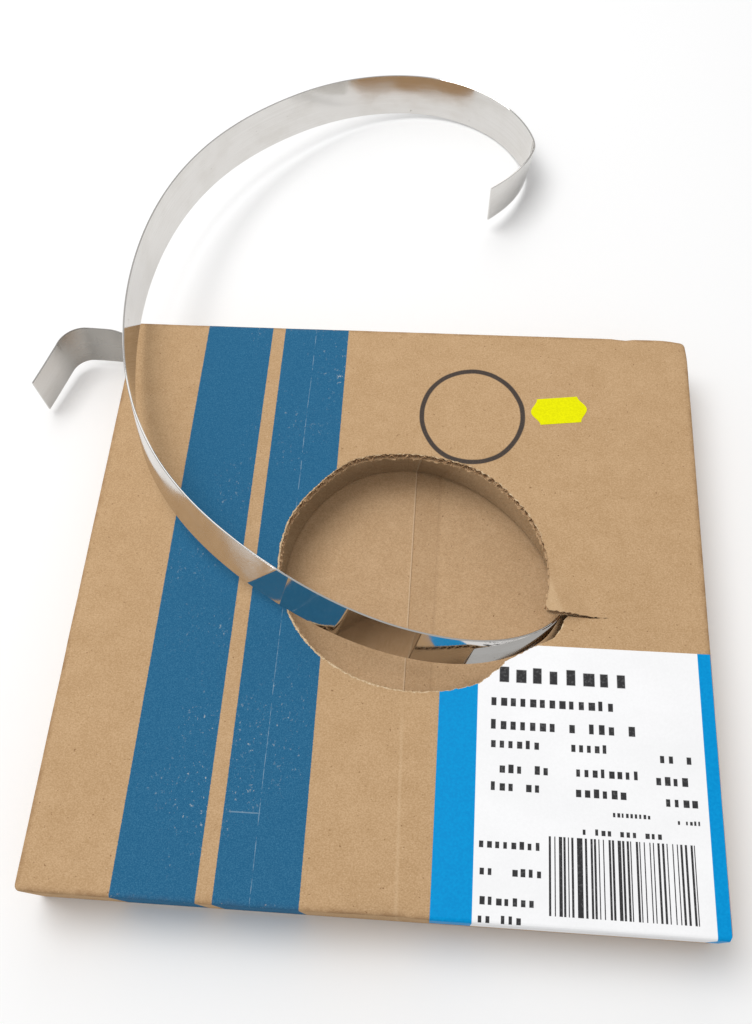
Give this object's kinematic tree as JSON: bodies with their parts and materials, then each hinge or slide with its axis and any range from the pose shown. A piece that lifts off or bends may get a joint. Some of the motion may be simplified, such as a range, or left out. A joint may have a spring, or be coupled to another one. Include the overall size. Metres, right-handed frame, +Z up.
{
  "type": "boxed coil of steel band",
  "caption": "Flat square dispenser carton of corrugated board holding a coil of stainless band, its inner end pulled out through a torn hole in a wide loop.",
  "frame": {"origin": "middle of the carton's underside, on the floor it lies on", "axes": "+Z up, carton sides along X and Y, label at the front (-Y), pulled-out loop behind (+Y)"},
  "size_m": [0.2682, 0.3865, 0.0555],
  "materials": {
    "cardboard": "plain brown corrugated board, printed with two blue stripes",
    "stainless": "bright rolled stainless strip, nearly mirror-like",
    "label_paper": "white coated paper with two bright blue bars",
    "sticker_paper": "fluorescent yellow price sticker paper"
  },
  "bodies": {
    "root": {"carton": "cardboard", "steel_band": "stainless", "product_label": "label_paper", "price_sticker": "sticker_paper"}
  },
  "joints": []
}
